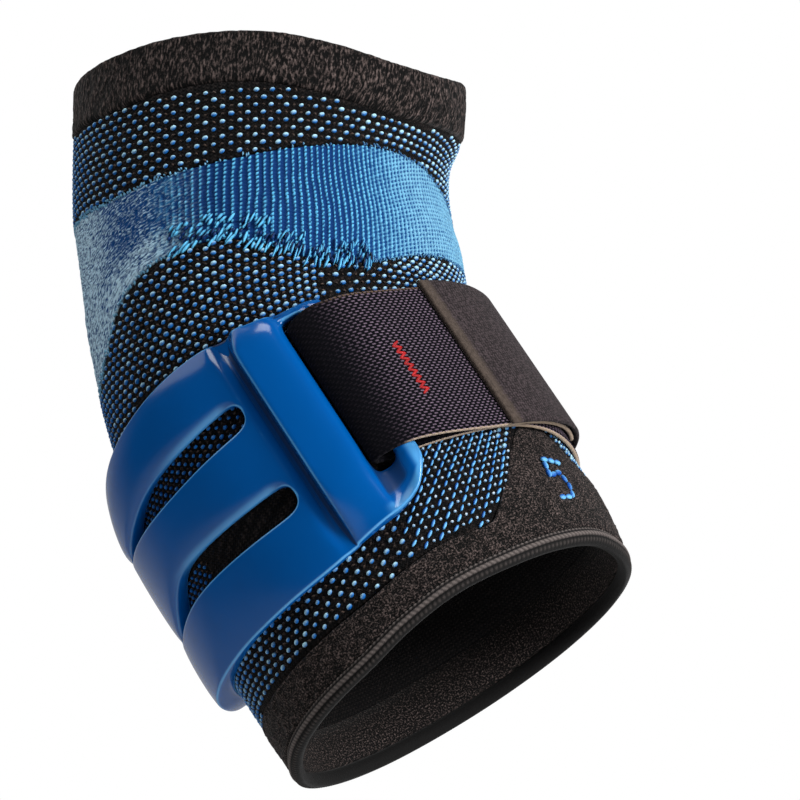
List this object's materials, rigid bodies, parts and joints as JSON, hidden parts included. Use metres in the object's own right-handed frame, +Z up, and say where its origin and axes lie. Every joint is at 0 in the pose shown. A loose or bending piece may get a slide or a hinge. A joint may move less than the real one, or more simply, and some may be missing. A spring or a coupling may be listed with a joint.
{
  "type": "tennis elbow support",
  "caption": "Knitted elbow sleeve held at a half bend, with a slotted moulded pressure plate on the outer forearm and an elastic strap folded back over its rail.",
  "frame": {"origin": "middle of the elbow, where the axes of the upper arm and the forearm cross inside the sleeve", "axes": "+Z up the upper arm, +X to the front of the arm, towards which the forearm bends, and -Y to the arm's outer side, where the plate sits"},
  "size_m": [0.1407, 0.0968, 0.1841],
  "materials": {
    "plush_black": "plush rib knit",
    "dotted_knit": "black knit with small blue stitches",
    "stretch_blue": "smooth rib knit",
    "hem_black": "rolled knit edge",
    "plate_blue": "satin moulded",
    "webbing": "woven elastic with pale cut edges",
    "hook_tape": "woven tape"
  },
  "bodies": {
    "root": {"upper_cuff": "plush_black", "upper_knit": "dotted_knit", "stretch_panel": "stretch_blue", "forearm_knit": "dotted_knit", "lower_cuff": "plush_black", "hem_roll": "hem_black", "pressure_plate": "plate_blue", "strap": "webbing", "strap_tab": "hook_tape"}
  },
  "joints": []
}
